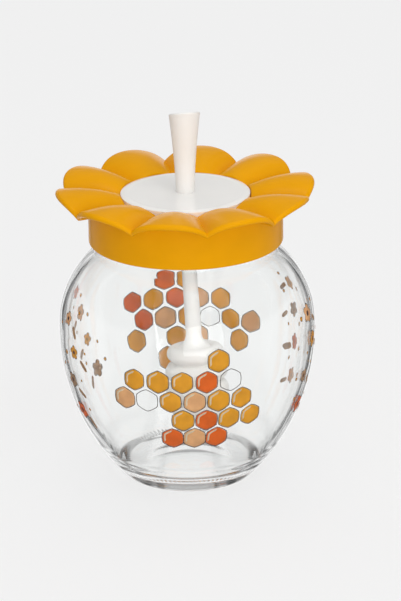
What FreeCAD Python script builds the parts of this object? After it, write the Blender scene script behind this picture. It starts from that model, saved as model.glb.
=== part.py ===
"""Honey jar with a flower lid and a lift-out dipper, in millimetres.

A barrel-shaped glass jar carries a lid with a four-start screw thread. The lid is an inner threaded cap
inside a flower-shaped cover of ten domed petals. A white disc closes the hole in the middle of the
flower. It carries a flared handle above and a honey dipper below, and lifts straight out of the lid.

+Z is up, the jar stands on z = 0 with its axis on the Z axis, and the front of the jar faces -Y.
"""

import FreeCAD, Part
import math
import os

# Glass jar
belly_radius = 59.5
belly_height = 72.3          # where the long flank arc reaches the belly
belly_straight = 2.0
flank_arc_radius = 101.0
shoulder_arc_radius = 45.0
glass_wall = 2.8
base_thickness = 8.0
heel_height = 2.2            # where the flank starts to round into the base
bearing_width = 5.0
punt_depth = 2.2             # of the shallow dome pushed up into the base
floor_round = 7.0
neck_radius = 40.2
neck_wall = 3.2
neck_length = 18.5
neck_root_round = 3.0
rim_round = 1.2

# Screw thread, shared by the jar and the lid
thread_starts = 4
thread_lead = 16.0
thread_depth = 1.1
thread_width = 1.9
thread_crest = 1.1
thread_span = 84.0
thread_drop = 10.5           # from the rim down to the low end of each ridge
thread_gap = 0.4             # jar ridge to cap wall
lug_gap = 0.3                # cap lug to jar neck
lug_width = 1.5
lug_crest = 0.8
lug_span = 36.0

# Gasket between the rim and the lid
gasket_thickness = 1.0
gasket_overhang = 0.4        # past the mouth of the jar, inwards
gasket_gap = 0.4
seat_gap = 0.05
bead_height = 0.8
bead_reach = 0.8
bead_gap = 0.25

# Inner threaded cap
cap_wall = 1.25
cap_deck = 1.45
cap_depth = 13.8             # wall below the rim
socket_wall = 1.4
socket_depth = 6.6           # below the underside of the deck
key_count = 6
key_width = 3.0
key_reach = 0.6
key_length = 8.0

# Flower cover
shell_gap = 0.1
skirt_wall = 1.95
skirt_drop = 15.0            # skirt edge below the rim
skirt_draft = 0.4
skirt_edge_round = 0.7
ledge_thickness = 2.2
ledge_width = 2.6
opening_wall = 1.8
petal_count = 10
petal_turn = -8.0            # of the front petal, to the left of the front
petal_tip_radius = 60.2
petal_valley_radius = 56.0
petal_thickness = 2.8
petal_rim_round = 1.0
petal_sections = 8
petal_spare = 3.0            # how far a petal's block runs past what trims it
valley_outer_rise = -2.2     # rises are from the top of the disc
crest_inner_rise = 0.2
crest_middle_rise = 3.8
crest_outer_rise = 3.4

# Centre disc, the plug of the lid
disc_radius = 29.9
disc_thickness = 3.1
disc_gap = 0.4
disc_edge_drop = 0.5
disc_edge_width = 4.0
disc_lift = 0.1
collar_gap = 1.2
collar_wall = 2.0
collar_depth = 9.5
seal_groove_height = 3.0
seal_groove_depth = 0.8
seal_groove_drop = 4.4       # top of the groove below the underside of the disc
seal_gap = 0.1
seal_socket_gap = 0.2
boss_radius = 6.0
rib_count = 6
rib_width = 1.2
rib_height = 3.5
rib_bite = 0.5               # how far a rib runs into what it joins

# Handle
handle_height = 40.5
handle_middle_height = 21.3
handle_base_radius = 4.2
handle_middle_radius = 5.5
handle_top_radius = 7.7
handle_cut_back = 19.6       # slope of the cut top, down towards the back, in degrees
handle_cut_left = 4.2        # and down towards the left
handle_edge_round = 0.6
spigot_radius = 2.5
spigot_reach = 6.0           # past the boss, into the dipper
spigot_gap = 0.1

# Dipper
dipper_lean_right = 3.2      # the moulding leans from its straight bore, in degrees
dipper_lean_front = 6.0
dipper_gap = 0.7
dipper_socket_gap = 0.05
dipper_socket_wall = 1.75
dipper_socket_length = 8.0
rod_top_radius = 3.1
rod_bottom_radius = 3.9
rod_taper_length = 4.0
rod_length = 40.3            # from the socket taper to the flare
flare_height = 8.5
flare_radius = 7.5
lobe_heights = (7.5, 8.8, 8.8, 8.8)
lobe_radii = (13.2, 14.5, 14.7, 12.6)
groove_depth = 3.0
groove_width = 0.9
tip_radius = 6.5

# Share of a quarter round's size between its corner and its middle
quarter = 1 - math.sqrt(0.5)

# Heights and radii that follow from the sizes above
belly_top = belly_height + belly_straight
flank_centre = (belly_radius - flank_arc_radius, belly_height)
shoulder_centre = (belly_radius - shoulder_arc_radius, belly_top)
neck_root = belly_top + math.sqrt(shoulder_arc_radius**2 - (neck_radius - shoulder_centre[0])**2)
rim = neck_root + neck_length
mouth_radius = neck_radius - neck_wall
cap_bore = neck_radius + thread_depth + thread_gap
cap_radius = cap_bore + cap_wall
gasket_bottom = rim + seat_gap
gasket_top = gasket_bottom + gasket_thickness
deck_bottom = gasket_top + seat_gap
deck_top = deck_bottom + cap_deck
skirt_bore = cap_radius + shell_gap
skirt_radius = skirt_bore + skirt_wall
skirt_bottom = rim - skirt_drop
ledge_top = deck_top + ledge_thickness
disc_bottom = ledge_top + disc_lift
disc_top = disc_bottom + disc_thickness
opening_radius = disc_radius + disc_gap
ledge_radius = opening_radius - ledge_width
socket_bore = ledge_radius - socket_wall
collar_radius = socket_bore - collar_gap
boss_bottom = disc_bottom - collar_depth
groove_top = disc_bottom - seal_groove_drop
groove_bottom = groove_top - seal_groove_height
groove_radius = collar_radius - seal_groove_depth
spigot_bore = spigot_radius + spigot_gap
thread_start_height = rim - thread_drop
thread_pitch = thread_lead / thread_starts
heel_turn = math.asin((belly_height - heel_height) / flank_arc_radius)
foot_round = heel_height / (1 - math.sin(heel_turn))
valley_inner = deck_top + shell_gap + petal_thickness
petal_half_angle = math.radians(180.0 / petal_count)
petal_space = 2.5 * crest_middle_rise + 2 * petal_thickness
handle_top = disc_top + handle_height

X = FreeCAD.Vector(1, 0, 0)
Y = FreeCAD.Vector(0, 1, 0)
Z = FreeCAD.Vector(0, 0, 1)
ORIGIN = FreeCAD.Vector(0, 0, 0)


def xz(point):
    """A (radius, height) pair as a point of the XZ plane."""
    return FreeCAD.Vector(point[0], 0, point[1])


def line(start, end):
    return Part.LineSegment(xz(start), xz(end)).toShape()


def arc(start, middle, end):
    return Part.Arc(xz(start), xz(middle), xz(end)).toShape()


def arc_about(centre, start, end):
    """The shorter arc from start to end about a centre."""
    radius = math.dist(centre, start)
    begin = math.atan2(start[1] - centre[1], start[0] - centre[0])
    finish = math.atan2(end[1] - centre[1], end[0] - centre[0])
    middle = (begin + finish) / 2
    return arc(start, (centre[0] + radius * math.cos(middle), centre[1] + radius * math.sin(middle)), end)


def turned(edges):
    """The solid that a closed outline in the XZ plane sweeps about the Z axis."""
    face = Part.Face(Part.Wire(edges))
    return face.revolve(ORIGIN, Z, 360)


def turned_points(points):
    """A turned solid with a straight-sided outline."""
    closed = list(points) + [points[0]]
    return turned([line(a, b) for a, b in zip(closed, closed[1:])])


def ring(inner, outer, bottom, top):
    """A tube about the Z axis."""
    return turned_points([(inner, bottom), (outer, bottom), (outer, top), (inner, top)])


def rounded(solid, radius, spots):
    """The solid with its circular edges at the given (radius, height) spots rounded."""
    chosen = []
    for edge in solid.Edges:
        if edge.Degenerated or not isinstance(edge.Curve, Part.Circle):
            continue
        at = (edge.Curve.Radius, edge.Curve.Center.z)
        if any(math.dist(at, spot) < 0.01 for spot in spots):
            chosen.append(edge)
    return solid.makeFillet(radius, chosen)


def thread_ridge(root, crest, root_width, crest_width, span, start_angle, start_height):
    """One helical ridge of the shared thread, from a root radius to a crest radius."""
    helix = Part.makeHelix(thread_lead, thread_lead * span / 360.0, root)
    corners = [
        (root, -root_width / 2),
        (crest, -crest_width / 2),
        (crest, crest_width / 2),
        (root, root_width / 2),
    ]
    loop = corners + [corners[0]]
    profile = Part.Wire([line(a, b) for a, b in zip(loop, loop[1:])])
    ridge = Part.Wire(helix).makePipeShell([profile], True, True)
    ridge.rotate(ORIGIN, Z, start_angle)
    ridge.translate(FreeCAD.Vector(0, 0, start_height))
    return ridge


def flank_radius(height, inset=0.0):
    """Radius of the jar's lower flank at a height, inset by a wall."""
    arc_radius = flank_arc_radius - inset
    return flank_centre[0] + math.sqrt(arc_radius**2 - (height - flank_centre[1]) ** 2)


def shoulder_height(radius, inset=0.0):
    """Height of the jar's shoulder at a radius, inset by a wall."""
    arc_radius = shoulder_arc_radius - inset
    return shoulder_centre[1] + math.sqrt(arc_radius**2 - (radius - shoulder_centre[0]) ** 2)


def make_glass_jar():
    """Barrel whose flank rounds into a thick pushed-up base, with a neck and four thread ridges."""
    heel = (flank_radius(heel_height), heel_height)
    foot_centre = (heel[0] - foot_round * math.cos(heel_turn), foot_round)
    bearing_outer = foot_centre[0]
    bearing_inner = bearing_outer - bearing_width
    inner_belly = belly_radius - glass_wall
    inner_floor = flank_radius(base_thickness, glass_wall)
    inner_neck_root = shoulder_height(mouth_radius, glass_wall)
    lip = min(rim_round, 0.45 * neck_wall)
    corner = lip * quarter
    punt_middle = (bearing_inner / 2, punt_depth * 0.75)
    outline = [
        arc((0, punt_depth), punt_middle, (bearing_inner, 0)),
        line((bearing_inner, 0), (bearing_outer, 0)),
        arc_about(foot_centre, (bearing_outer, 0), heel),
        arc_about(flank_centre, heel, (belly_radius, belly_height)),
        line((belly_radius, belly_height), (belly_radius, belly_top)),
        arc_about(shoulder_centre, (belly_radius, belly_top), (neck_radius, neck_root)),
        line((neck_radius, neck_root), (neck_radius, rim - lip)),
        arc((neck_radius, rim - lip), (neck_radius - corner, rim - corner), (neck_radius - lip, rim)),
        line((neck_radius - lip, rim), (mouth_radius + lip, rim)),
        arc((mouth_radius + lip, rim), (mouth_radius + corner, rim - corner), (mouth_radius, rim - lip)),
        line((mouth_radius, rim - lip), (mouth_radius, inner_neck_root)),
        arc_about(shoulder_centre, (mouth_radius, inner_neck_root), (inner_belly, belly_top)),
        line((inner_belly, belly_top), (inner_belly, belly_height)),
        arc_about(flank_centre, (inner_belly, belly_height), (inner_floor, base_thickness)),
        line((inner_floor, base_thickness), (0, base_thickness)),
        line((0, base_thickness), (0, punt_depth)),
    ]
    jar = turned(outline)
    jar = rounded(jar, neck_root_round, [(neck_radius, neck_root), (mouth_radius, inner_neck_root)])
    jar = rounded(jar, floor_round, [(inner_floor, base_thickness)])
    crest = neck_radius + thread_depth
    for start in range(thread_starts):
        angle = 360.0 * start / thread_starts
        root = neck_radius - neck_wall / 4
        jar = jar.fuse(
            thread_ridge(root, crest, thread_width, thread_crest, thread_span, angle, thread_start_height)
        )
    return jar


def make_jar_gasket():
    """Flat ring that the lid presses on the rim."""
    inner = mouth_radius - gasket_overhang
    return ring(inner, cap_bore - gasket_gap, gasket_bottom, gasket_top)


def make_inner_cap():
    """Threaded cap: wall, deck, gasket bead, lugs and the socket that the plug drops into."""
    bottom = rim - cap_depth
    bead_top = gasket_bottom - bead_gap
    cap = turned_points(
        [
            (socket_bore, deck_bottom - socket_depth),
            (socket_bore + socket_wall, deck_bottom - socket_depth),
            (socket_bore + socket_wall, deck_bottom),
            (cap_bore, deck_bottom),
            (cap_bore, bead_top),
            (cap_bore - bead_reach, bead_top - bead_height / 2),
            (cap_bore, bead_top - bead_height),
            (cap_bore, bottom),
            (cap_radius, bottom),
            (cap_radius, deck_top),
            (socket_bore, deck_top),
        ]
    )
    lug_start = thread_start_height - thread_pitch / 2
    lug_offset = (thread_span - lug_span) / 2
    for start in range(thread_starts):
        angle = 360.0 * start / thread_starts + lug_offset
        height = lug_start + thread_lead * lug_offset / 360.0
        root = cap_bore + cap_wall / 2
        cap = cap.fuse(
            thread_ridge(root, neck_radius + lug_gap, lug_width, lug_crest, lug_span, angle, height)
        )
    for key in keys(0.0):
        cap = cap.fuse(key)
    return cap


def keys(clearance):
    """Blocks round the cap wall that drive the cover, or with a clearance the slots for them."""
    width = key_width + 2 * clearance
    depth = cap_wall / 2 + key_reach + clearance
    top = deck_top if clearance == 0 else deck_top + clearance
    bottom = deck_top - key_length - clearance
    blocks = []
    for index in range(key_count):
        corner = FreeCAD.Vector(cap_radius - cap_wall / 2, -width / 2, bottom)
        block = Part.makeBox(depth, width, top - bottom, corner)
        block.rotate(ORIGIN, Z, 360.0 * index / key_count)
        blocks.append(block)
    return blocks


def valley_height(radius):
    """Height of the crease between two petals, which starts just above the cap's deck."""
    share = (radius - opening_radius) / (petal_valley_radius - opening_radius)
    return valley_inner + share * (disc_top + valley_outer_rise - valley_inner)


def crest_height(radius):
    """Height of the middle line of a petal, a parabola through its inner, middle and outer rise."""
    share = (radius - opening_radius) / (petal_tip_radius - opening_radius)
    bend = 2 * (crest_inner_rise + crest_outer_rise - 2 * crest_middle_rise)
    slope = crest_outer_rise - crest_inner_rise - bend
    return disc_top + crest_inner_rise + slope * share + bend * share**2


def petal_section(station, bottom, spare):
    """Closed wire across one petal at a distance from the axis: an arch over a flat bottom."""
    half = station * math.tan(petal_half_angle)
    low = valley_height(station / math.cos(petal_half_angle))
    high = crest_height(station)
    arch_radius = (half**2 + (high - low) ** 2) / (2 * (high - low))
    reach = min(half + spare, 0.98 * arch_radius)
    end = high - arch_radius + math.sqrt(arch_radius**2 - reach**2)
    left = FreeCAD.Vector(station, -reach, end)
    right = FreeCAD.Vector(station, reach, end)
    top = FreeCAD.Vector(station, 0, high)
    foot_left = FreeCAD.Vector(station, -reach, bottom)
    foot_right = FreeCAD.Vector(station, reach, bottom)
    edges = [
        Part.LineSegment(foot_left, left).toShape(),
        Part.Arc(left, top, right).toShape(),
        Part.LineSegment(right, foot_right).toShape(),
        Part.LineSegment(foot_right, foot_left).toShape(),
    ]
    return Part.Wire(edges)


def petal_block(spares, bottom):
    """Solid under one petal's domed top, a number of spare margins larger than the petal all round."""
    spare = spares * petal_spare
    first = opening_radius - spare
    last = petal_tip_radius + spare
    step = (last - first) / (petal_sections - 1)
    stations = [first + step * index for index in range(petal_sections)]
    return Part.makeLoft([petal_section(s, bottom, spare) for s in stations], True)


def petal_plan(bottom, top):
    """Upright prism with one petal's outline: a sector closed by the rounded tip."""
    cusp = petal_valley_radius * math.cos(petal_half_angle)
    half = petal_valley_radius * math.sin(petal_half_angle)
    middle = FreeCAD.Vector(0, 0, bottom)
    left = FreeCAD.Vector(cusp, -half, bottom)
    tip = FreeCAD.Vector(petal_tip_radius, 0, bottom)
    right = FreeCAD.Vector(cusp, half, bottom)
    outline = [
        Part.LineSegment(middle, left).toShape(),
        Part.Arc(left, tip, right).toShape(),
        Part.LineSegment(right, middle).toShape(),
    ]
    return Part.Face(Part.Wire(outline)).extrude(FreeCAD.Vector(0, 0, top - bottom))


def make_petal():
    """One petal shell, pointing along +X, with its rounded rim."""
    low = disc_top - petal_space
    high = disc_top + petal_space
    dome = petal_block(1, low)
    hollow = petal_block(2, low - petal_thickness)
    hollow.translate(FreeCAD.Vector(0, 0, -petal_thickness))
    plan = petal_plan(low, high)
    petal = dome.common(plan).cut(hollow)
    rim = max(petal.Faces, key=lambda face: face.CenterOfMass.x)
    rim_edges = [edge for edge in rim.Edges if edge.BoundBox.YLength > petal_thickness]
    return petal.makeFillet(min(petal_rim_round, 0.4 * petal_thickness), rim_edges)


def around(shape, count, turn):
    """Copies of a shape that points along +X, placed round the axis from the front at a turn."""
    copies = []
    for index in range(count):
        copy = shape.copy()
        copy.rotate(ORIGIN, Z, -90.0 + turn + 360.0 * index / count)
        copies.append(copy)
    return copies


def make_flower_cover():
    """Petals, outer skirt, opening wall and the ledge that the disc rests on, as one shell."""
    skirt = turned_points(
        [
            (skirt_bore, skirt_bottom),
            (skirt_radius, skirt_bottom),
            (skirt_radius - skirt_draft, disc_top + petal_space),
            (skirt_bore, disc_top + petal_space),
        ]
    )
    skirt = rounded(skirt, skirt_edge_round, [(skirt_radius, skirt_bottom)])
    wall = ring(opening_radius, opening_radius + opening_wall, deck_top, disc_top + petal_space)
    below = skirt_bottom - petal_space
    under_petal = petal_block(1, below)
    under_petal = under_petal.common(petal_plan(below, disc_top + petal_space))
    opening = Part.makeCylinder(opening_radius, 2 * petal_space, FreeCAD.Vector(0, 0, ledge_top))
    ledge = ring(ledge_radius, opening_radius + opening_wall / 2, deck_top, ledge_top)
    wedge = make_petal().fuse([skirt.common(under_petal), wall.common(under_petal)])
    wedge = wedge.cut(opening)
    wedges = around(wedge.removeSplitter(), petal_count, petal_turn)
    cover = wedges[0].fuse(wedges[1:] + [ledge])
    cover = cover.cut(keys(shell_gap))
    return cover.removeSplitter()


def make_centre_disc():
    """White disc with its rolled edge, the collar that fits the socket, a boss and ribs."""
    inside = collar_radius - collar_wall
    edge_top = disc_top - disc_edge_drop
    flat = disc_radius - disc_edge_width
    roll = (disc_radius - quarter * disc_edge_width, disc_top - quarter * disc_edge_drop)
    outline = [
        line((spigot_bore, boss_bottom), (boss_radius, boss_bottom)),
        line((boss_radius, boss_bottom), (boss_radius, disc_bottom)),
        line((boss_radius, disc_bottom), (inside, disc_bottom)),
        line((inside, disc_bottom), (inside, boss_bottom)),
        line((inside, boss_bottom), (collar_radius, boss_bottom)),
        line((collar_radius, boss_bottom), (collar_radius, groove_bottom)),
        line((collar_radius, groove_bottom), (groove_radius, groove_bottom)),
        line((groove_radius, groove_bottom), (groove_radius, groove_top)),
        line((groove_radius, groove_top), (collar_radius, groove_top)),
        line((collar_radius, groove_top), (collar_radius, disc_bottom)),
        line((collar_radius, disc_bottom), (disc_radius, disc_bottom)),
        line((disc_radius, disc_bottom), (disc_radius, edge_top)),
        arc((disc_radius, edge_top), roll, (flat, disc_top)),
        line((flat, disc_top), (spigot_bore, disc_top)),
        line((spigot_bore, disc_top), (spigot_bore, boss_bottom)),
    ]
    disc = turned(outline)
    length = inside - boss_radius + 2 * rib_bite
    for index in range(rib_count):
        corner = FreeCAD.Vector(boss_radius - rib_bite, -rib_width / 2, disc_bottom - rib_height)
        rib = Part.makeBox(length, rib_width, rib_height + rib_bite, corner)
        rib.rotate(ORIGIN, Z, 360.0 * index / rib_count)
        disc = disc.fuse(rib)
    return disc


def make_plug_seal():
    """Soft ring in the collar's groove."""
    return ring(
        groove_radius + seal_gap,
        socket_bore - seal_socket_gap,
        groove_bottom + seal_gap,
        groove_top - seal_gap,
    )


def make_handle():
    """Flared stem with an obliquely cut top, and the spigot that holds the dipper."""
    flare_end = (handle_top_radius, handle_top + handle_edge_round)
    flare_middle = (handle_middle_radius, disc_top + handle_middle_height)
    tip = boss_bottom - spigot_reach
    stem = turned(
        [
            line((0, tip), (spigot_radius, tip)),
            line((spigot_radius, tip), (spigot_radius, disc_top)),
            line((spigot_radius, disc_top), (handle_base_radius, disc_top)),
            arc((handle_base_radius, disc_top), flare_middle, flare_end),
            line(flare_end, (0, flare_end[1])),
            line((0, flare_end[1]), (0, tip)),
        ]
    )
    size = 8 * handle_top_radius
    slope = math.hypot(math.tan(math.radians(handle_cut_back)), math.tan(math.radians(handle_cut_left)))
    above = Part.makeBox(size, size, size, FreeCAD.Vector(-size / 2, -size / 2, 0))
    above.rotate(ORIGIN, X, -handle_cut_back)
    above.rotate(ORIGIN, Y, -handle_cut_left)
    above.translate(FreeCAD.Vector(0, 0, handle_top - slope * handle_top_radius))
    stem = stem.cut(above)
    cut_face = max(stem.Faces, key=lambda face: face.CenterOfMass.z)
    return stem.makeFillet(handle_edge_round, cut_face.Edges)


def make_dipper():
    """Rod with its socket on top and stacked rounded lobes below, leaning in its socket."""
    top = boss_bottom - dipper_gap
    bore_radius = spigot_radius + dipper_socket_gap
    socket_outside = bore_radius + dipper_socket_wall
    socket_bottom = top - dipper_socket_length
    bore_bottom = boss_bottom - spigot_reach - dipper_gap
    rod_top = socket_bottom - rod_taper_length
    flare_top = rod_top - rod_length
    head_top = flare_top - flare_height
    flare_middle = (
        rod_bottom_radius + quarter * (flare_radius - rod_bottom_radius),
        head_top + quarter * flare_height,
    )
    edges = [
        line((0, top), (socket_outside, top)),
        line((socket_outside, top), (socket_outside, socket_bottom)),
        line((socket_outside, socket_bottom), (rod_top_radius, rod_top)),
        line((rod_top_radius, rod_top), (rod_bottom_radius, flare_top)),
        arc((rod_bottom_radius, flare_top), flare_middle, (flare_radius, head_top)),
    ]
    at = (flare_radius, head_top)
    bottom = head_top
    last = len(lobe_radii) - 1
    for index, radius in enumerate(lobe_radii):
        top_of_lobe = bottom
        bottom = top_of_lobe - lobe_heights[index]
        middle = (radius, (top_of_lobe + bottom + groove_width) / 2)
        if index == last:
            end = (tip_radius, bottom + groove_width)
            edges.append(arc(at, middle, end))
            at = end
        else:
            groove = min(radius, lobe_radii[index + 1]) - groove_depth
            end = (groove, bottom + groove_width)
            edges.append(arc(at, middle, end))
            edges.append(line(end, (groove, bottom)))
            at = (groove, bottom)
    edges.append(line(at, (0, at[1])))
    edges.append(line((0, at[1]), (0, top)))
    dipper = turned(edges)
    pivot = FreeCAD.Vector(0, 0, (top + bore_bottom) / 2)
    dipper.rotate(pivot, Y, -dipper_lean_right)
    dipper.rotate(pivot, X, -dipper_lean_front)
    bore = Part.makeCylinder(bore_radius, dipper_socket_length, FreeCAD.Vector(0, 0, bore_bottom))
    return dipper.cut(bore)


def main():
    parts = {
        "glass_jar": make_glass_jar(),
        "jar_gasket": make_jar_gasket(),
        "inner_cap": make_inner_cap(),
        "flower_cover": make_flower_cover(),
        "centre_disc": make_centre_disc(),
        "plug_seal": make_plug_seal(),
        "handle": make_handle(),
        "dipper": make_dipper(),
    }
    os.makedirs("parts", exist_ok=True)
    for name, shape in parts.items():
        shape.exportStep(os.path.join("parts", name + ".step"))
        print(name, "valid", shape.isValid(), "solids", len(shape.Solids), "volume", round(shape.Volume))
    print("disc top", round(disc_top, 2), "rim", round(rim, 2), "handle top", round(handle_top, 2))


main()
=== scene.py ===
"""Looks of the honey jar with its flower lid and dipper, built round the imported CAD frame.

The jar and the lid's flower are modelled here as finer meshes of the same shapes as their CAD nodes, and
the jar gets its print. The disc, the handle, the dipper and the hidden cap, gasket and seal are the CAD
nodes with finished materials.
"""

import math
import random

import bmesh
import bpy
from mathutils import Matrix, Vector, noise


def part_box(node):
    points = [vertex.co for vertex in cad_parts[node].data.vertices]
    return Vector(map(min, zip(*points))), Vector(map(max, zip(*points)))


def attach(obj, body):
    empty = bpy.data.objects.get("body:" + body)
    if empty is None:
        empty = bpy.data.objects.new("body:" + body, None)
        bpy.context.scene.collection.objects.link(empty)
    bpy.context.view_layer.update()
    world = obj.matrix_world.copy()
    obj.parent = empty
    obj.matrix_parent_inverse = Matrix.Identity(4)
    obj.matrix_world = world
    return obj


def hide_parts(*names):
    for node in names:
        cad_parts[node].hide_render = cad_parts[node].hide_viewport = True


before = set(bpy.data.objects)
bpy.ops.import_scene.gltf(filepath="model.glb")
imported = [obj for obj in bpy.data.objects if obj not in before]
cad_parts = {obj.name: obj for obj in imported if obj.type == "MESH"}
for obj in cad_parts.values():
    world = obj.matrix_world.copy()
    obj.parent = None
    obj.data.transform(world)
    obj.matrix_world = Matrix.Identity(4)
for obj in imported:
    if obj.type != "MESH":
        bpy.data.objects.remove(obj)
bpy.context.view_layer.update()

MM = 0.001

# Glass jar, in millimetres like every size below
belly_radius = 59.5
belly_height = 72.3
belly_straight = 2.0
flank_arc_radius = 101.0
shoulder_arc_radius = 45.0
glass_wall = 2.8
base_thickness = 8.0
heel_height = 2.2
bearing_width = 5.0
punt_depth = 2.2
floor_round = 7.0
neck_radius = 40.2
neck_wall = 3.2
neck_length = 18.5
neck_root_round = 3.0
rim_round = 1.2
thread_starts = 4
thread_lead = 16.0
thread_depth = 1.1
thread_width = 1.9
thread_crest = 1.1
thread_span = 84.0
thread_drop = 10.5
thread_run_in = 6.0

# Relief of the glass: waves inside the wall, a dotted ring on the floor and pressed rings at the heel
glass_ripple = 0.16
ripple_size = 13.0
ripple_upright_share = 0.7
ripple_fade = 12.0
floor_ribs = 96
floor_rib_depth = 0.25
rib_ring_inner = 27.5
rib_ring_outer = 32.5
axis_zone = 1.0
heel_rings_low = 3.0
heel_rings_high = 18.0
heel_ring_count = 3
heel_ring_depth = 0.22

# Lid. The crease_fall says how far below the disc's top the top of a crease may lie
cap_deck_gap = 0.1
skirt_bore = 43.05
skirt_radius = 45.0
skirt_edge_round = 0.7
skirt_root_round = 0.8
ledge_radius = 27.7
opening_radius = 30.3
opening_wall = 1.8
petal_count = 10
petal_turn = -8.0
petal_tip_radius = 60.2
petal_valley_radius = 56.0
petal_thickness = 2.8
petal_rim_round = 1.35
inner_edge_round = 0.5
valley_outer_rise = -2.2
crest_inner_rise = 0.2
crest_middle_rise = 3.8
crest_outer_rise = 3.4
crease_fall = 4.0
disc_thickness = 3.1
disc_lift = 0.1

# Heights that follow from the frame
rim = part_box("glass_jar")[1].z / MM
deck_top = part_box("inner_cap")[1].z / MM
skirt_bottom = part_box("flower_cover")[0].z / MM
disc_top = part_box("centre_disc")[1].z / MM
ledge_top = disc_top - disc_thickness - disc_lift

# Print on the glass: thin plates that start just off it
print_seed = 11
print_root = 0.012
print_lift = 0.05
outline_lift = 0.04
middle_lift = 0.06
shine_lift = 0.07
outline_inner = 0.94
fill_outer = 0.93

# Honeycomb patches, with angles in degrees from +X
comb_angles = (-87.0, 90.0)
comb_height = 56.0
comb_half_width = 38.0
comb_half_height = 22.0
comb_half_rows = 2
comb_half_columns = 4
comb_core = 0.62
comb_gaps = 0.35
cell_size = 5.2
cell_gap = 0.9
cell_least_share = 0.93
cell_sharpness = 0.55
cell_bulge = 1.06
cell_wobble = 0.035
cell_points = 36
shine_first = 9
shine_last = 21
shine_outer = 0.80
shine_inner = 0.80
shine_end = 0.97

# Sprigs of blossoms, leaves and dots at the sides
sprig_angles = (-22.0, 25.0, 155.0, 202.0)
sprig_heights = (40.0, 55.0, 70.0, 84.0)
sprig_scatter = 9.0
blossom_sizes = (3.4, 4.6)
blossom_waist = 0.62
blossom_middle = 0.27
blossom_outline_inner = 0.92
blossom_fill_outer = 0.91
leaf_size = 3.2
leaf_waist = 0.36
leaf_turn = 7.5
leaf_drop = 4.5
large_dots = (0.8, 1.3)
large_dot_turn = -8.0
small_dots = (0.6, 1.0)
small_dot_turn = 9.0
dot_outline_inner = 0.80
dot_fill_outer = 0.79

# Camera, from the photograph of 401 by 601 pixels
view_elevation = 19.6
view_roll = 0.8
view_distance = 2000.0
pixels_high = 601
pixels_per_mm = 2.153
view_centre = (6.3, 0.0, 84.3)
sensor_width = 36.0

# Mesh density
jar_columns = 384
flank_rows = 90
shoulder_rows = 44
neck_rows = 62
inner_flank_rows = 56
floor_rows = 24
petal_columns = 44
petal_rows = 30
lip_rows = 14

# Colours, as linear light
orange = (0.83, 0.37, 0.002)
disc_white = (0.95, 0.94, 0.915)
ivory = (0.90, 0.89, 0.865)
cap_white = (0.72, 0.72, 0.70)
seal_grey = (0.62, 0.62, 0.59)
amber = (0.95, 0.47, 0.03)
deep_orange = (0.93, 0.19, 0.02)
peach = (0.95, 0.56, 0.27)
tan = (0.55, 0.33, 0.17)
maroon = (0.10, 0.018, 0.01)
dark_brown = (0.045, 0.018, 0.008)
ink_shine = (0.98, 0.86, 0.62)
glass_tint = (0.985, 0.992, 0.988)
floor_pale = (0.88, 0.88, 0.88)
floor_bounce = (0.7, 0.7, 0.7)

# Materials, with waves counted per millimetre
glass_index = 1.5
ink_translucency = 0.35
cloud_waves = 0.07
polish_waves = 0.5
grain_waves = 0.8
glass_haze = 0.015
glass_haze_waves = 0.2
glass_swell = 0.1
glass_swell_waves = 0.045
ink_cloud_waves = 0.16
ink_polish_waves = 1.0
ink_grain = 0.01
ink_grain_waves = 2.0

# How often light caught in the glass is mirrored or bent before it is let out
trapped_reflections = 2.5
trapped_refractions = 8.5

# Floor, with its reach in metres
floor_reach = 80.0
floor_level = -0.3
floor_glow = 0.79
floor_shade = 0.22

# Even light for dull surfaces. Its greys run from straight ahead to straight sideways
ambient_strength = 0.95
ambient_through_glass = 1.2
ambient_across = ((0.0, 0.95), (0.45, 0.93), (0.75, 0.42), (1.0, 0.28))

# What glass and gloss see, as (position, grey) stops: from left to right, upwards and from front to back
studio_across = (
    (0.0, 0.75),
    (0.2, 0.7),
    (0.235, 0.7),
    (0.25, 0.1),
    (0.29, 0.04),
    (0.31, 0.9),
    (0.335, 1.0),
    (0.35, 0.5),
    (0.37, 0.05),
    (0.38, 1.0),
    (0.615, 1.0),
    (0.63, 0.2),
    (0.66, 0.25),
    (0.675, 0.9),
    (0.69, 0.9),
    (0.71, 0.05),
    (0.75, 0.1),
    (0.78, 0.7),
    (1.0, 0.75),
)
studio_upright = (
    (0.0, 0.9),
    (0.12, 0.95),
    (0.14, 0.35),
    (0.165, 0.96),
    (0.30, 0.97),
    (0.58, 0.97),
    (0.62, 0.35),
    (0.90, 0.4),
    (0.95, 0.6),
    (1.0, 0.6),
)
studio_depth = ((0.0, 0.8), (0.42, 0.8), (0.55, 1.0), (1.0, 1.0))


def flank_radius(height, inset=0.0):
    """Radius of the jar's lower flank at a height."""
    arc_radius = flank_arc_radius - inset
    return belly_radius - flank_arc_radius + math.sqrt(arc_radius**2 - (height - belly_height) ** 2)


def shoulder_radius(height, inset=0.0):
    """Radius of the jar's shoulder at a height."""
    arc_radius = shoulder_arc_radius - inset
    middle = belly_height + belly_straight
    return belly_radius - shoulder_arc_radius + math.sqrt(arc_radius**2 - (height - middle) ** 2)


def shoulder_height(radius, inset=0.0):
    """Height of the jar's shoulder at a radius."""
    arc_radius = shoulder_arc_radius - inset
    reach = radius - (belly_radius - shoulder_arc_radius)
    return belly_height + belly_straight + math.sqrt(arc_radius**2 - reach**2)


def glass_radius(height):
    """Outer radius of the jar's body at a height."""
    if height < belly_height:
        return flank_radius(height)
    if height < belly_height + belly_straight:
        return belly_radius
    return shoulder_radius(height)


def span(start, end, steps):
    """Evenly spaced values from start to end, both included."""
    return [start + (end - start) * step / steps for step in range(steps + 1)]


def straight(start, end, steps):
    """Points along a straight line."""
    return list(zip(span(start[0], end[0], steps), span(start[1], end[1], steps)))


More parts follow.
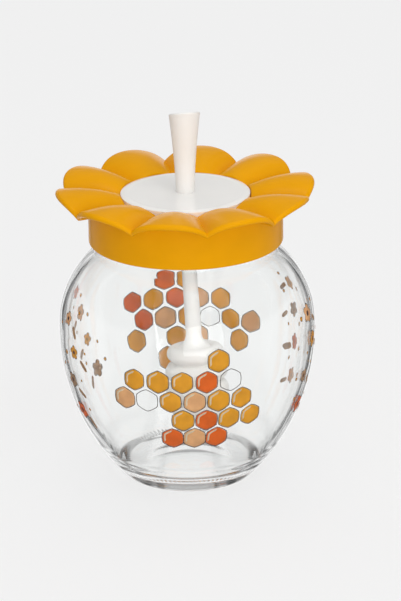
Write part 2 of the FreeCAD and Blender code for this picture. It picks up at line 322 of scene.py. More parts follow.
def quarter_round(start, corner, end, steps=6):
    """Points of a quarter ellipse from start to end that bulges towards a corner."""
    points = []
    for angle in span(0.0, math.pi / 2, steps):
        along = 1 - math.cos(angle)
        out = math.sin(angle)
        points.append(
            (
                start[0] + (corner[0] - start[0]) * out + (end[0] - corner[0]) * along,
                start[1] + (corner[1] - start[1]) * out + (end[1] - corner[1]) * along,
            )
        )
    return points


def softened(points, corner, reach, steps=8):
    """An outline with the stretch near a corner replaced by a smooth bend."""
    inside = [index for index, point in enumerate(points) if math.dist(point, corner) < reach]
    before, after = points[inside[0] - 1], points[inside[-1] + 1]
    bend = []
    for t in span(0.0, 1.0, steps)[1:-1]:
        bend.append(
            tuple(
                (1 - t) ** 2 * a + 2 * t * (1 - t) * c + t**2 * b
                for a, c, b in zip(before, corner, after)
            )
        )
    return points[: inside[0]] + bend + points[inside[-1] + 1 :]


def new_object(name, mesh):
    """A linked object for a mesh, shaded smooth."""
    for polygon in mesh.polygons:
        polygon.use_smooth = True
    piece = bpy.data.objects.new(name, mesh)
    bpy.context.scene.collection.objects.link(piece)
    return piece


def turned_mesh(name, section_at, columns, closed, first=0.0, sharp=None):
    """A mesh swept about the Z axis. section_at(angle) gives the outline there, in millimetres.

    A closed outline makes a ring. An open one starts and ends on the axis. The first column stands at
    the angle first, and sharp tells which points lie on a crease.
    """
    vertices = []
    faces = []
    rows = len(section_at(0.0))
    for column in range(columns):
        angle = first + 2 * math.pi * column / columns
        for radius, height in section_at(angle):
            vertices.append((radius * math.cos(angle) * MM, radius * math.sin(angle) * MM, height * MM))
    last = rows if closed else rows - 1
    for column in range(columns):
        right = (column + 1) % columns
        for row in range(last):
            below = column * rows + row
            above = column * rows + (row + 1) % rows
            across_above = right * rows + (row + 1) % rows
            across_below = right * rows + row
            faces.append((below, across_below, across_above, above))
    mesh = bpy.data.meshes.new(name)
    mesh.from_pydata(vertices, [], faces)
    if not closed:
        weld(mesh)
    if sharp:
        mark_sharp(mesh, sharp)
    return new_object(name, mesh)


def weld(mesh):
    """Joins the points that lie in one place, as those on the axis or in the middle of a shape."""
    work = bmesh.new()
    work.from_mesh(mesh)
    bmesh.ops.remove_doubles(work, verts=work.verts, dist=1e-7)
    bmesh.ops.dissolve_degenerate(work, edges=work.edges, dist=1e-8)
    work.to_mesh(mesh)
    work.free()


def mark_sharp(mesh, test):
    """Creases the edges whose two ends pass a test."""
    flags = [test(vertex.co) for vertex in mesh.vertices]
    for edge in mesh.edges:
        a, b = edge.vertices
        if flags[a] and flags[b]:
            edge.use_edge_sharp = True


def thread_rise(angle, height):
    """How far the jar's thread stands out of the neck at an angle and a height."""
    step = 360.0 / thread_starts
    turn = math.degrees(angle) % step
    if turn > thread_span:
        return 0.0
    middle = rim - thread_drop + thread_lead * turn / 360.0
    slope = (thread_width - thread_crest) / 2
    across = min(1.0, max(0.0, (thread_width / 2 - abs(height - middle)) / slope))
    run_in = min(1.0, turn / thread_run_in, (thread_span - turn) / thread_run_in)
    return thread_depth * across * math.sin(run_in * math.pi / 2)


def ripple(angle, radius, height):
    """Gentle waves of the blown glass, from -1 to 1."""
    upright = ripple_upright_share * height
    place = Vector((radius * math.cos(angle), radius * math.sin(angle), upright))
    return noise.noise(place / ripple_size)


def ringed(height):
    """Radius of the flank with its shallow pressed rings above the heel."""
    share = (height - heel_rings_low) / (heel_rings_high - heel_rings_low)
    if not 0 < share < 1:
        return flank_radius(height)
    dip = 0.5 - 0.5 * math.cos(2 * math.pi * heel_ring_count * share)
    return flank_radius(height) - heel_ring_depth * dip


def jar_outline():
    """Outline as (kind, radius, height) points, from the middle of the base round to that of the floor."""
    heel_turn = math.asin((belly_height - heel_height) / flank_arc_radius)
    foot_round = heel_height / (1 - math.sin(heel_turn))
    ring_outside = flank_radius(heel_height) - foot_round * math.cos(heel_turn)
    ring_inside = ring_outside - bearing_width
    belly_top = belly_height + belly_straight
    mouth = neck_radius - neck_wall
    neck_root = (neck_radius, shoulder_height(neck_radius))
    inner_root = (mouth, shoulder_height(mouth, glass_wall))
    floor_edge = (flank_radius(base_thickness, glass_wall), base_thickness)

    punt = [(r, punt_depth * (1 - (r / ring_inside) ** 2)) for r in span(0.0, ring_inside, 12)]
    bearing = straight((ring_inside, 0), (ring_outside, 0), 8)[1:]
    body = [
        (ring_outside + foot_round * math.cos(turn), foot_round * (1 + math.sin(turn)))
        for turn in span(-math.pi / 2, -heel_turn, 10)[1:]
    ]
    body += [(ringed(h), h) for h in span(heel_height, belly_height, flank_rows)[1:]]
    body += [(shoulder_radius(h), h) for h in span(belly_top, neck_root[1], shoulder_rows)]
    body += straight(neck_root, (neck_radius, neck_root[1] + 2 * neck_root_round), 10)[1:]
    body = softened(body, neck_root, neck_root_round)
    neck = straight(body[-1], (neck_radius, rim - rim_round), neck_rows)[1:]
    lip = quarter_round(neck[-1], (neck_radius, rim), (neck_radius - rim_round, rim))[1:]
    lip += quarter_round((mouth + rim_round, rim), (mouth, rim), (mouth, rim - rim_round))
    inside = straight((mouth, rim - rim_round), inner_root, 14)[1:]
    shoulder_steps = span(inner_root[1], belly_top, shoulder_rows)[1:]
    flank_steps = span(belly_height, base_thickness, inner_flank_rows)
    inside += [(shoulder_radius(h, glass_wall), h) for h in shoulder_steps]
    inside += [(flank_radius(h, glass_wall), h) for h in flank_steps]
    inside += straight(floor_edge, (0, base_thickness), floor_rows)[1:]
    inside = softened(inside, inner_root, neck_root_round)
    inside = softened(inside, floor_edge, 0.8 * floor_round, 14)
    kinds = (("plain", punt + bearing + body), ("neck", neck), ("plain", lip), ("inside", inside))
    return [(kind, radius, height) for kind, points in kinds for radius, height in points]


def floor_rib(angle, radius):
    """Height of the fine ribs that make a dotted ring on the jar's floor."""
    middle = (rib_ring_inner + rib_ring_outer) / 2
    half = (rib_ring_outer - rib_ring_inner) / 2
    fade = max(0.0, 1 - ((radius - middle) / half) ** 2)
    return floor_rib_depth * fade * (0.5 + 0.5 * math.cos(floor_ribs * angle))


def inner_wave(angle, radius, height):
    """Depth of the waves inside the wall, which fade out towards the neck and the floor."""
    away = min(1.0, max(0.0, (rim - neck_length - height) / ripple_fade))
    away *= min(1.0, max(0.0, (height - base_thickness) / ripple_fade))
    return glass_ripple * away * (0.5 + 0.5 * ripple(angle, radius, height))


def make_jar():
    """Clear jar with a rippled inside, a dotted ring on its floor and four raised threads on its neck."""
    outline = jar_outline()

    def section(angle):
        points = []
        for kind, radius, height in outline:
            if kind == "neck":
                radius += thread_rise(angle, height)
            elif kind == "inside" and radius > axis_zone:
                if height < base_thickness + floor_round:
                    height += floor_rib(angle, radius)
                radius -= inner_wave(angle, radius, height)
            points.append((radius, height))
        return points

    jar = turned_mesh("jar_glass", section, jar_columns, closed=False)
    jar.data.materials.append(glass_material())
    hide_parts("glass_jar")
    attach(jar, "jar")
    jar.visible_shadow = False


def petal_side(angle):
    """Angle from the middle line of the nearest petal, in radians."""
    half = 180.0 / petal_count
    front = -90.0 + petal_turn
    return math.radians((math.degrees(angle) - front + half) % (2 * half) - half)


def valley_height(radius):
    """Height of the crease between two petals."""
    inner = deck_top + cap_deck_gap + petal_thickness
    share = (radius - opening_radius) / (petal_valley_radius - opening_radius)
    return inner + share * (disc_top + valley_outer_rise - inner)


def crest_height(radius):
    """Height of a petal's middle line."""
    share = (radius - opening_radius) / (petal_tip_radius - opening_radius)
    bend = 2 * (crest_inner_rise + crest_outer_rise - 2 * crest_middle_rise)
    slope = crest_outer_rise - crest_inner_rise - bend
    return disc_top + crest_inner_rise + slope * share + bend * share**2


def petal_top(radius, side):
    """Height of a petal's top at a radius and an angle from its middle line."""
    half_angle = math.pi / petal_count
    along = radius * math.cos(side)
    across = radius * math.sin(side)
    half = along * math.tan(half_angle)
    low = valley_height(along / math.cos(half_angle))
    rise = crest_height(along) - low
    arch = (half**2 + rise**2) / (2 * rise)
    return low + rise - arch + math.sqrt(arch**2 - across**2)


def petal_reach(side):
    """Distance from the axis to the edge of the flower at an angle from a petal's middle line."""
    half_angle = math.pi / petal_count
    cusp = petal_valley_radius * math.cos(half_angle)
    half = petal_valley_radius * math.sin(half_angle)
    bulge = petal_tip_radius - cusp
    round_radius = (half**2 + bulge**2) / (2 * bulge)
    centre = petal_tip_radius - round_radius
    return centre * math.cos(side) + math.sqrt(round_radius**2 - (centre * math.sin(side)) ** 2)


def petal_under(radius, side):
    """Height of a petal's underside."""
    return petal_top(radius, side) - petal_thickness


def cover_section(angle):
    """Closed outline of the flower cover at an angle: opening, petal top, rim, underside and skirt."""
    side = petal_side(angle)
    inner_top = petal_top(opening_radius, side)
    top_start = opening_radius + inner_edge_round
    lip_start = petal_reach(side) - petal_rim_round
    points = quarter_round(
        (opening_radius, inner_top - inner_edge_round),
        (opening_radius, inner_top),
        (top_start, petal_top(top_start, side)),
        4,
    )
    points += [(r, petal_top(r, side)) for r in span(top_start, lip_start, petal_rows)[1:]]
    for turn in span(math.pi / 2, -math.pi / 2, lip_rows)[1:-1]:
        out = lip_start + petal_rim_round * math.cos(turn)
        points.append((out, petal_top(out, side) + petal_thickness / 2 * (math.sin(turn) - 1)))
    under = [(r, petal_under(r, side)) for r in span(lip_start, skirt_radius, 10)]
    points += under[:-1]
    return points + skirt_outline(side, under[-1][1]) + ledge_outline(side)


def skirt_outline(side, skirt_top):
    """Outline from the skirt's root down its outside, round its edge and up its inside."""
    root = skirt_radius + skirt_root_round
    points = quarter_round(
        (root, petal_under(root, side)),
        (skirt_radius, skirt_top),
        (skirt_radius, skirt_top - skirt_root_round),
        5,
    )
    edge = (skirt_radius, skirt_bottom + skirt_edge_round)
    foot = (skirt_radius - skirt_edge_round, skirt_bottom)
    points += straight((skirt_radius, skirt_top - skirt_root_round), edge, 10)[1:]
    points += quarter_round(edge, (skirt_radius, skirt_bottom), foot)[1:]
    return points + straight((skirt_bore, skirt_bottom), (skirt_bore, petal_under(skirt_bore, side)), 8)


def ledge_outline(side):
    """Outline from the skirt's bore inwards and round the ledge that carries the disc."""
    wall = opening_radius + opening_wall
    points = [(r, petal_under(r, side)) for r in span(skirt_bore, wall, 8)[1:]]
    points += [(wall, deck_top), (ledge_radius, deck_top), (ledge_radius, ledge_top)]
    return points + [(opening_radius, ledge_top)]


def on_crease(point):
    """Whether a point of the cover lies on a crease between two petals."""
    radius = math.hypot(point.x, point.y) / MM
    side = abs(petal_side(math.atan2(point.y, point.x)))
    on_line = abs(side - math.pi / petal_count) < 1e-4
    on_top = radius > opening_radius + inner_edge_round / 2 and point.z / MM > disc_top - crease_fall
    return on_line and (on_top or radius > skirt_radius + skirt_root_round)


def make_cover():
    """Orange flower: ten domed petals with rounded rims, and the plain skirt below."""
    first = math.radians(-90.0 + petal_turn + 180.0 / petal_count)
    columns = petal_count * petal_columns
    cover = turned_mesh("flower_petals", cover_section, columns, True, first, on_crease)
    cover.data.materials.append(moulded("orange_moulded", orange, 0.2, 0.03, 0.002, mirror=0.06))
    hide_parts("flower_cover")
    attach(cover, "lid")


def glass_point(angle, height, lift):
    """A point just off the outside of the glass, in metres."""
    radius = (glass_radius(height) + lift) * MM
    return Vector((radius * math.cos(angle), radius * math.sin(angle), height * MM))


class Print:
    """Flat coloured shapes laid on the glass, gathered in one mesh per colour."""

    def __init__(self, name, colour, lift):
        self.name = name
        self.colour = colour
        self.lift = lift
        self.vertices = []
        self.faces = []

    def lay(self, place, inner, outer, rings):
        """One thin plate between an inner and an outer loop of (across, up) points round a place."""
        count = len(outer)
        start = len(self.vertices)
        for layer in (self.lift, print_root):
            for ring in range(rings + 1):
                share = ring / rings
                for a, b in zip(inner, outer):
                    across = a[0] + (b[0] - a[0]) * share
                    up = a[1] + (b[1] - a[1]) * share
                    height = place[1] + up
                    angle = math.radians(place[0]) + across / glass_radius(height)
                    self.vertices.append(glass_point(angle, height, layer))
        layer_size = count * (rings + 1)
        for ring in range(rings):
            for index in range(count):
                following = (index + 1) % count
                a = start + ring * count + index
                b = start + ring * count + following
                c = b + count
                d = a + count
                self.faces.append((a, d, c, b))
                self.faces.append((a + layer_size, b + layer_size, c + layer_size, d + layer_size))
        for index in range(count):
            following = (index + 1) % count
            for ring, turned in ((0, True), (rings, False)):
                a = start + ring * count + index
                b = start + ring * count + following
                face = (a, b, b + layer_size, a + layer_size)
                self.faces.append(face if turned else face[::-1])

    def finish(self):
        """Makes the mesh of one colour and fixes it to the jar."""
        mesh = bpy.data.meshes.new(self.name)
        mesh.from_pydata(self.vertices, [], self.faces)
        weld(mesh)
        piece = new_object(self.name, mesh)
        piece.data.materials.append(print_material(self.name + "_ink", self.colour))
        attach(piece, "jar")


def loop(radius_at, count):
    """Closed loop of points round the middle at a radius that may change with the angle."""
    points = []
    for index in range(count):
        angle = 2 * math.pi * index / count
        radius = radius_at(angle)
        points.append((radius * math.cos(angle), radius * math.sin(angle)))
    return points


def scaled(points, share):
    """A loop shrunk towards its middle."""
    return [(x * share, y * share) for x, y in points]


def cell_loop(size, seed):
    """A hand-drawn hexagon with soft corners."""

    def radius_at(angle):
        corner = (math.degrees(angle) + 30.0) % 60.0 - 30.0
        hexagon = size / math.cos(math.radians(corner))
        soft = cell_sharpness * hexagon + (1 - cell_sharpness) * size * cell_bulge
        uneven = noise.noise(Vector((math.cos(angle), math.sin(angle), seed * 3.7)))
        return soft * (1 + cell_wobble * uneven)

    return loop(radius_at, cell_points)


def lay_cell(inks, place, size, seed, fill):
    """One honeycomb cell: a thin outline, a fill and a shine."""
    shape = cell_loop(size, seed)
    inks["dark_brown"].lay(place, scaled(shape, outline_inner), shape, 1)
    if fill is None:
        return
    inks[fill].lay(place, scaled(shape, 0.0), scaled(shape, fill_outer), 5)
    lay_shine(inks, place, scaled(shape, shine_outer))


def lay_shine(inks, place, edge):
    """A curved stroke along part of a loop, with narrow ends."""
    front = edge[shine_first : shine_last + 1]
    back = scaled(front, shine_inner)
    back[0] = scaled(front[:1], shine_end)[0]
    back[-1] = scaled(front[-1:], shine_end)[0]
    middle = [((a[0] + b[0]) / 2, (a[1] + b[1]) / 2) for a, b in zip(front, back)]
    inks["shine"].lay(place, middle + middle[::-1], front + back[::-1], 1)


def lay_flower(inks, place, size, ink, turn):
    """A small open blossom of five petals with a dark middle."""

    def radius_at(angle):
        return size * (blossom_waist + (1 - blossom_waist) * abs(math.cos(2.5 * (angle + turn))) ** 0.7)

    shape = loop(radius_at, 60)
    inks["dark_brown"].lay(place, scaled(shape, blossom_outline_inner), shape, 1)
    inks[ink].lay(place, scaled(shape, 0.0), scaled(shape, blossom_fill_outer), 5)
    inks["maroon"].lay(place, scaled(shape, 0.0), loop(lambda angle: blossom_middle * size, 60), 2)


def lay_leaf(inks, place, size, turn, ink):
    """A pointed leaf."""

    def radius_at(angle):
        return size * (leaf_waist + (1 - leaf_waist) * abs(math.cos(angle)) ** 6)

    c, s = math.cos(turn), math.sin(turn)
    shape = [(c * x - s * y, s * x + c * y) for x, y in loop(radius_at, 48)]
    inks[ink].lay(place, scaled(shape, 0.0), shape, 4)


def lay_dot(inks, place, size):
    """A small round dot with a thin outline."""
    shape = loop(lambda angle: size, 20)
    inks["maroon"].lay(place, scaled(shape, dot_outline_inner), shape, 1)
    inks["amber"].lay(place, scaled(shape, 0.0), scaled(shape, dot_fill_outer), 2)


def make_print():
    """Honeycomb patches on the front and the back, and small blossoms, leaves and dots between them."""
    inks = {
        "amber": Print("print_amber", amber, print_lift),
        "deep_orange": Print("print_deep_orange", deep_orange, print_lift),
        "peach": Print("print_peach", peach, print_lift),
        "tan": Print("print_tan", tan, print_lift),
        "maroon": Print("print_maroon", maroon, middle_lift),
        "dark_brown": Print("print_outline", dark_brown, outline_lift),
        "shine": Print("print_shine", ink_shine, shine_lift),
    }
    draw = random.Random(print_seed)
    for middle_angle in comb_angles:
        lay_comb(inks, draw, middle_angle)
    for middle_angle in sprig_angles:
        lay_sprig(inks, draw, middle_angle)
    for ink in inks.values():
        ink.finish()


def lay_comb(inks, draw, middle_angle):
    """A patch of honeycomb cells round a point of the belly, with a full core and a ragged edge."""
    pitch = 2 * cell_size + cell_gap
    fills = ["amber"] * 6 + ["deep_orange"] * 2 + ["peach"] * 2 + [None]
    for row in range(-comb_half_rows, comb_half_rows + 1):
        for column in range(-comb_half_columns, comb_half_columns + 1):
            across = pitch * (column + 0.5 * (row % 2))
            up = pitch * math.sqrt(3) / 2 * row
            away = math.hypot(across / comb_half_width, up / comb_half_height)
            if away > 1.0 or (away > comb_core and draw.random() < comb_gaps):
                continue
            angle = middle_angle + math.degrees(across / belly_radius)
            size = cell_size * draw.uniform(cell_least_share, 1.0)
            lay_cell(inks, (angle, comb_height + up), size, draw.random(), draw.choice(fills))


def lay_sprig(inks, draw, middle_angle):
    """A column of blossoms, each with a leaf and two dots, on the side of the jar."""
    for step, height in enumerate(sprig_heights):
        angle = middle_angle + draw.uniform(-sprig_scatter, sprig_scatter)
        ink = ("amber", "peach", "deep_orange", "tan")[(step + int(abs(middle_angle))) % 4]
        lay_flower(inks, (angle, height), draw.uniform(*blossom_sizes), ink, draw.uniform(0, 1.2))
        lay_leaf(inks, (angle + leaf_turn, height - leaf_drop), leaf_size, draw.uniform(-1.2, -0.4), "tan")
        place = (angle + large_dot_turn, height + draw.uniform(-6.0, 6.0))
        lay_dot(inks, place, draw.uniform(*large_dots))
        place = (angle + small_dot_turn, height + draw.uniform(2.0, 7.0))
        lay_dot(inks, place, draw.uniform(*small_dots))


def base_material(name):
    """A new material, its node tree, its shader and the coordinates fixed to the piece."""
    made = bpy.data.materials.new(name)
    made.use_nodes = True
    tree = made.node_tree
    place = tree.nodes.new("ShaderNodeTexCoord")
    return made, tree, tree.nodes["Principled BSDF"], place.outputs["Object"]


def waves(tree, place, per_mm, detail=2.0):
    """Noise with so many waves per millimetre, about 0.3 to 0.7."""
    texture = tree.nodes.new("ShaderNodeTexNoise")
    texture.inputs["Scale"].default_value = per_mm / MM
    texture.inputs["Detail"].default_value = detail
    tree.links.new(place, texture.inputs["Vector"])
    return texture.outputs["Fac"]


def between(tree, share, low, high):
    """A value that runs from low to high as the noise does."""
    stretch = tree.nodes.new("ShaderNodeMapRange")
    stretch.inputs["From Min"].default_value = 0.3
    stretch.inputs["From Max"].default_value = 0.7
    stretch.inputs["To Min"].default_value = low
    stretch.inputs["To Max"].default_value = high
    tree.links.new(share, stretch.inputs["Value"])
    return stretch.outputs["Result"]


def shades(tree, share, first, second):
    """A colour that runs from the first to the second as the noise does."""
    ramp = tree.nodes.new("ShaderNodeValToRGB")
    ramp.color_ramp.elements[0].position = 0.3
    ramp.color_ramp.elements[0].color = (*first, 1)
    ramp.color_ramp.elements[1].position = 0.7
    ramp.color_ramp.elements[1].color = (*second, 1)
    tree.links.new(share, ramp.inputs["Fac"])
    return ramp.outputs["Color"]


def relief(tree, shader, share, depth):
    """Fine bumps of a depth in millimetres."""
    bump = tree.nodes.new("ShaderNodeBump")
    bump.inputs["Strength"].default_value = 1.0
    bump.inputs["Distance"].default_value = depth * MM
    tree.links.new(share, bump.inputs["Height"])
    tree.links.new(bump.outputs["Normal"], shader.inputs["Normal"])


def moulded(name, colour, roughness, mottle, grain, mirror=0.5):
    """Moulded plastic: faint clouds in the colour, uneven polish and a fine grain."""
    made, tree, shader, place = base_material(name)
    shader.inputs["Specular IOR Level"].default_value = mirror
    darker = [c * (1 - mottle) for c in colour]
    lighter = [min(1.0, c * (1 + mottle)) for c in colour]
    clouds = waves(tree, place, cloud_waves, 3.0)
    tree.links.new(shades(tree, clouds, darker, lighter), shader.inputs["Base Color"])
    polish = between(tree, waves(tree, place, polish_waves, 4.0), 0.8 * roughness, 1.25 * roughness)
    tree.links.new(polish, shader.inputs["Roughness"])
    relief(tree, shader, waves(tree, place, grain_waves), grain)
    return made


def glass_material():
    """Clear pressed glass with a faint waviness. Light caught in it is let out after some turns."""
    made, tree, shader, place = base_material("clear_pressed_glass")
    shader.inputs["Base Color"].default_value = (*glass_tint, 1)
    shader.inputs["Transmission Weight"].default_value = 1.0
    shader.inputs["IOR"].default_value = glass_index
    haze = between(tree, waves(tree, place, glass_haze_waves), 0.0, glass_haze)
    tree.links.new(haze, shader.inputs["Roughness"])
    relief(tree, shader, waves(tree, place, glass_swell_waves), glass_swell)
    clear = tree.nodes.new("ShaderNodeBsdfTransparent")
    mirrored = past_limit(tree, path_share(tree, "Glossy Depth"), trapped_reflections)
    bent = past_limit(tree, path_share(tree, "Transmission Depth"), trapped_refractions)
    let_out = mixed(tree, larger(tree, mirrored, bent), shader, clear)
    tree.links.new(let_out.outputs[0], tree.nodes["Material Output"].inputs["Surface"])
    return made


def print_material(name, colour):
    """Fired ceramic ink: a satin film with uneven strength that lets some light through."""
    made, tree, shader, place = base_material(name)
    thin = [0.75 * c + 0.25 * min(1.0, 1.35 * c) for c in colour]
    deep = [0.85 * c for c in colour]
    tint = shades(tree, waves(tree, place, ink_cloud_waves, 3.0), deep, thin)
    tree.links.new(tint, shader.inputs["Base Color"])
    polish = between(tree, waves(tree, place, ink_polish_waves, 3.0), 0.3, 0.5)
    tree.links.new(polish, shader.inputs["Roughness"])
    relief(tree, shader, waves(tree, place, ink_grain_waves), ink_grain)
    through = tree.nodes.new("ShaderNodeBsdfTranslucent")
    tree.links.new(tint, through.inputs["Color"])
    film = tree.nodes.new("ShaderNodeMixShader")
    film.inputs[0].default_value = ink_translucency
    tree.links.new(shader.outputs[0], film.inputs[1])
    tree.links.new(through.outputs[0], film.inputs[2])
    tree.links.new(film.outputs[0], tree.nodes["Material Output"].inputs["Surface"])
    return made


def dress(node, material):
    """Gives a CAD node its finished material."""
    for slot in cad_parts[node].material_slots:
        slot.material = material


def path_share(tree, name):
    """What the light path says of a ray under a name, such as 1 for rays of one kind and 0 for others."""
    return tree.nodes.new("ShaderNodeLightPath").outputs[name]


def without_bounces(tree, share):
    """The share for paths straight from the camera, 0 for light that a dull surface gathers."""
    fresh = tree.nodes.new("ShaderNodeMath")
    fresh.operation = "LESS_THAN"
    tree.links.new(path_share(tree, "Diffuse Depth"), fresh.inputs[0])
    fresh.inputs[1].default_value = 0.5
    both = tree.nodes.new("ShaderNodeMath")
    both.operation = "MULTIPLY"
    tree.links.new(share, both.inputs[0])
    tree.links.new(fresh.outputs[0], both.inputs[1])
    return both.outputs[0]


def past_limit(tree, value, limit):
    """1 where a value is past a limit, 0 elsewhere."""
    test = tree.nodes.new("ShaderNodeMath")
    test.operation = "GREATER_THAN"
    tree.links.new(value, test.inputs[0])
    test.inputs[1].default_value = limit
    return test.outputs[0]


def larger(tree, first, second):
    """The larger of two values."""
    most = tree.nodes.new("ShaderNodeMath")
    most.operation = "MAXIMUM"
    tree.links.new(first, most.inputs[0])
    tree.links.new(second, most.inputs[1])
    return most.outputs[0]


def mixed(tree, share, first, second):
    """A shader that runs from the first to the second."""
    mix = tree.nodes.new("ShaderNodeMixShader")
    tree.links.new(share, mix.inputs[0])
    tree.links.new(first.outputs[0], mix.inputs[1])
    tree.links.new(second.outputs[0], mix.inputs[2])
    return mix


def make_floor():
    """Pale floor with a faint shadow. What the glass bends passes it, into the studio beyond."""
    mesh = bpy.data.meshes.new("floor")
    sides = ((-1, -1), (1, -1), (1, 1), (-1, 1))
    corners = [(x * floor_reach, y * floor_reach, floor_level * MM) for x, y in sides]
    mesh.from_pydata(corners, [], [(0, 1, 2, 3)])
    floor = bpy.data.objects.new("floor", mesh)
    bpy.context.scene.collection.objects.link(floor)
    mesh.materials.append(floor_material())


def dull(tree, colour):
    """A plain dull surface of a colour."""
    surface = tree.nodes.new("ShaderNodeBsdfDiffuse")
    surface.inputs["Color"].default_value = (*colour, 1)
    return surface


def floor_material():
    """Pale to the eye, a dull bounce for other pieces, and clear for what glass bends or mirrors."""
    made = bpy.data.materials.new("floor_pale")
    made.use_nodes = True
    tree = made.node_tree
    tree.nodes.clear()
    glow = tree.nodes.new("ShaderNodeEmission")
    glow.inputs["Color"].default_value = (*floor_pale, 1)
    glow.inputs["Strength"].default_value = floor_glow
    seen = tree.nodes.new("ShaderNodeAddShader")
    tree.links.new(glow.outputs[0], seen.inputs[0])
    tree.links.new(dull(tree, (floor_shade,) * 3).outputs[0], seen.inputs[1])
    plain = mixed(tree, path_share(tree, "Is Camera Ray"), dull(tree, floor_bounce), seen)
    bent = larger(tree, path_share(tree, "Is Transmission Ray"), path_share(tree, "Is Glossy Ray"))
    clear = tree.nodes.new("ShaderNodeBsdfTransparent")
    final = mixed(tree, without_bounces(tree, bent), plain, clear)
    out = tree.nodes.new("ShaderNodeOutputMaterial")
    tree.links.new(final.outputs[0], out.inputs["Surface"])
    return made


def stepped(tree, value, stops):
    """A grey that follows (position, grey) stops, with positions from 0 to 1."""
    ramp = tree.nodes.new("ShaderNodeValToRGB")
    first, last = stops[0], stops[-1]
    ramp.color_ramp.elements[0].position = first[0]
    ramp.color_ramp.elements[0].color = (first[1], first[1], first[1], 1)
    ramp.color_ramp.elements[1].position = last[0]
    ramp.color_ramp.elements[1].color = (last[1], last[1], last[1], 1)
    for position, grey in stops[1:-1]:
        stop = ramp.color_ramp.elements.new(position)
        stop.color = (grey, grey, grey, 1)
    tree.links.new(value, ramp.inputs["Fac"])
    return ramp.outputs["Color"]


def signed_share(tree, value):
    """A value from -1 to 1 as a share from 0 to 1."""
    share = tree.nodes.new("ShaderNodeMapRange")
    share.inputs["From Min"].default_value = -1.0
    share.inputs["From Max"].default_value = 1.0
    tree.links.new(value, share.inputs["Value"])
    return share.outputs["Result"]


def multiplied(tree, first, second):
    """The product of two greys."""
    product = tree.nodes.new("ShaderNodeMix")
    product.data_type = "RGBA"
    product.blend_type = "MULTIPLY"
    product.inputs["Factor"].default_value = 1.0
    tree.links.new(first, product.inputs["A"])
    tree.links.new(second, product.inputs["B"])
    return product.outputs["Result"]


def make_world():
    """Soft light, weaker from the sides. Glass and gloss see a pale backdrop between dark stripes."""
    world = bpy.data.worlds.new("studio")
    world.use_nodes = True
    tree = world.node_tree
    place = tree.nodes.new("ShaderNodeTexCoord")
    direction = tree.nodes.new("ShaderNodeSeparateXYZ")
    tree.links.new(place.outputs["Generated"], direction.inputs[0])
    shown = larger(tree, path_share(tree, "Is Transmission Ray"), path_share(tree, "Is Glossy Ray"))
    shown = larger(tree, shown, path_share(tree, "Is Camera Ray"))
    ambient = light_ambient(tree, direction.outputs)
    choose = mixed(tree, without_bounces(tree, shown), ambient, make_studio(tree, direction.outputs))
    tree.links.new(choose.outputs[0], tree.nodes["World Output"].inputs["Surface"])
    bpy.context.scene.world = world


def light_ambient(tree, direction):
    """Even light for dull surfaces, stronger where it comes through the glass."""
    aside = tree.nodes.new("ShaderNodeMath")
    aside.operation = "ABSOLUTE"
    tree.links.new(direction["X"], aside.inputs[0])
    ambient = tree.nodes["Background"]
    tree.links.new(stepped(tree, aside.outputs[0], ambient_across), ambient.inputs["Color"])
    gain = tree.nodes.new("ShaderNodeMapRange")
    gain.inputs["To Min"].default_value = ambient_strength
    gain.inputs["To Max"].default_value = ambient_strength * (1 + ambient_through_glass)
    tree.links.new(path_share(tree, "Is Transmission Ray"), gain.inputs["Value"])
    tree.links.new(gain.outputs["Result"], ambient.inputs["Strength"])
    return ambient


def make_studio(tree, direction):
    """Surroundings whose grey is the product of three runs of stops, one along each axis."""
    stripes = stepped(tree, signed_share(tree, direction["X"]), studio_across)
    bands = stepped(tree, signed_share(tree, direction["Z"]), studio_upright)
    behind = stepped(tree, signed_share(tree, direction["Y"]), studio_depth)
    studio = tree.nodes.new("ShaderNodeBackground")
    tree.links.new(multiplied(tree, multiplied(tree, stripes, bands), behind), studio.inputs["Color"])
    return studio


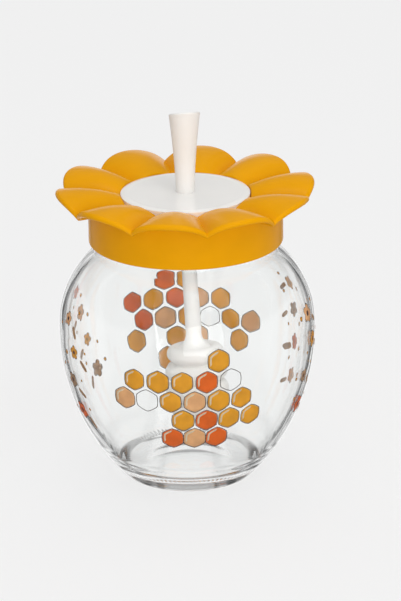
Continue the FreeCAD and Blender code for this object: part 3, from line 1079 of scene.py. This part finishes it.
def soft_lamp(name, towards, distance, size, watts, mirrored=True):
    """A square area lamp that looks at the object's middle, with distance and size in metres."""
    data = bpy.data.lights.new(name, "AREA")
    data.shape = "SQUARE"
    data.size = size
    data.energy = watts
    lamp = bpy.data.objects.new(name, data)
    aim = Vector((0, 0, 90)) * MM
    direction = Vector(towards).normalized()
    lamp.location = aim + direction * distance
    lamp.rotation_euler = direction.to_track_quat("Z", "Y").to_euler()
    lamp.visible_glossy = mirrored
    bpy.context.scene.collection.objects.link(lamp)


def make_lamps():
    """A key lamp from the right and above, a frontal fill, and a small top lamp that gloss mirrors."""
    soft_lamp("key_lamp", (0.4, -0.5, 0.85), distance=0.9, size=0.4, watts=0.7, mirrored=False)
    soft_lamp("front_fill", (0.25, -1.0, 0.12), distance=2.5, size=1.6, watts=26.0, mirrored=False)
    soft_lamp("top_lamp", (0.0, 0.1, 1.0), distance=0.9, size=0.25, watts=0.4)


def make_camera():
    """The photograph's view: from the front and a little above, from far away."""
    tilt = math.radians(view_elevation)
    data = bpy.data.cameras.new("photo_camera")
    data.sensor_width = sensor_width
    data.lens = sensor_width * view_distance * pixels_per_mm / pixels_high
    camera = bpy.data.objects.new("photo_camera", data)
    back = Vector((0, -math.cos(tilt), math.sin(tilt)))
    camera.location = (Vector(view_centre) + back * view_distance) * MM
    roll = Matrix.Rotation(math.radians(-view_roll), 4, "Z")
    camera.rotation_euler = (Matrix.Rotation(math.pi / 2 - tilt, 4, "X") @ roll).to_euler()
    bpy.context.scene.collection.objects.link(camera)
    bpy.context.scene.camera = camera


make_camera()
make_jar()
make_cover()
make_print()
dress("inner_cap", moulded("cap_white_moulded", cap_white, 0.35, 0.02, 0.01))
dress("jar_gasket", moulded("gasket_foam", seal_grey, 0.7, 0.05, 0.05))
dress("plug_seal", moulded("seal_rubber", seal_grey, 0.6, 0.04, 0.03))
dress("centre_disc", moulded("disc_moulded", disc_white, 0.12, 0.01, 0.004))
dress("handle", moulded("handle_moulded", ivory, 0.35, 0.015, 0.001))
dress("dipper", moulded("dipper_moulded", ivory, 0.35, 0.015, 0.001))
make_floor()
make_world()
make_lamps()
bpy.context.scene.view_settings.view_transform = "Standard"
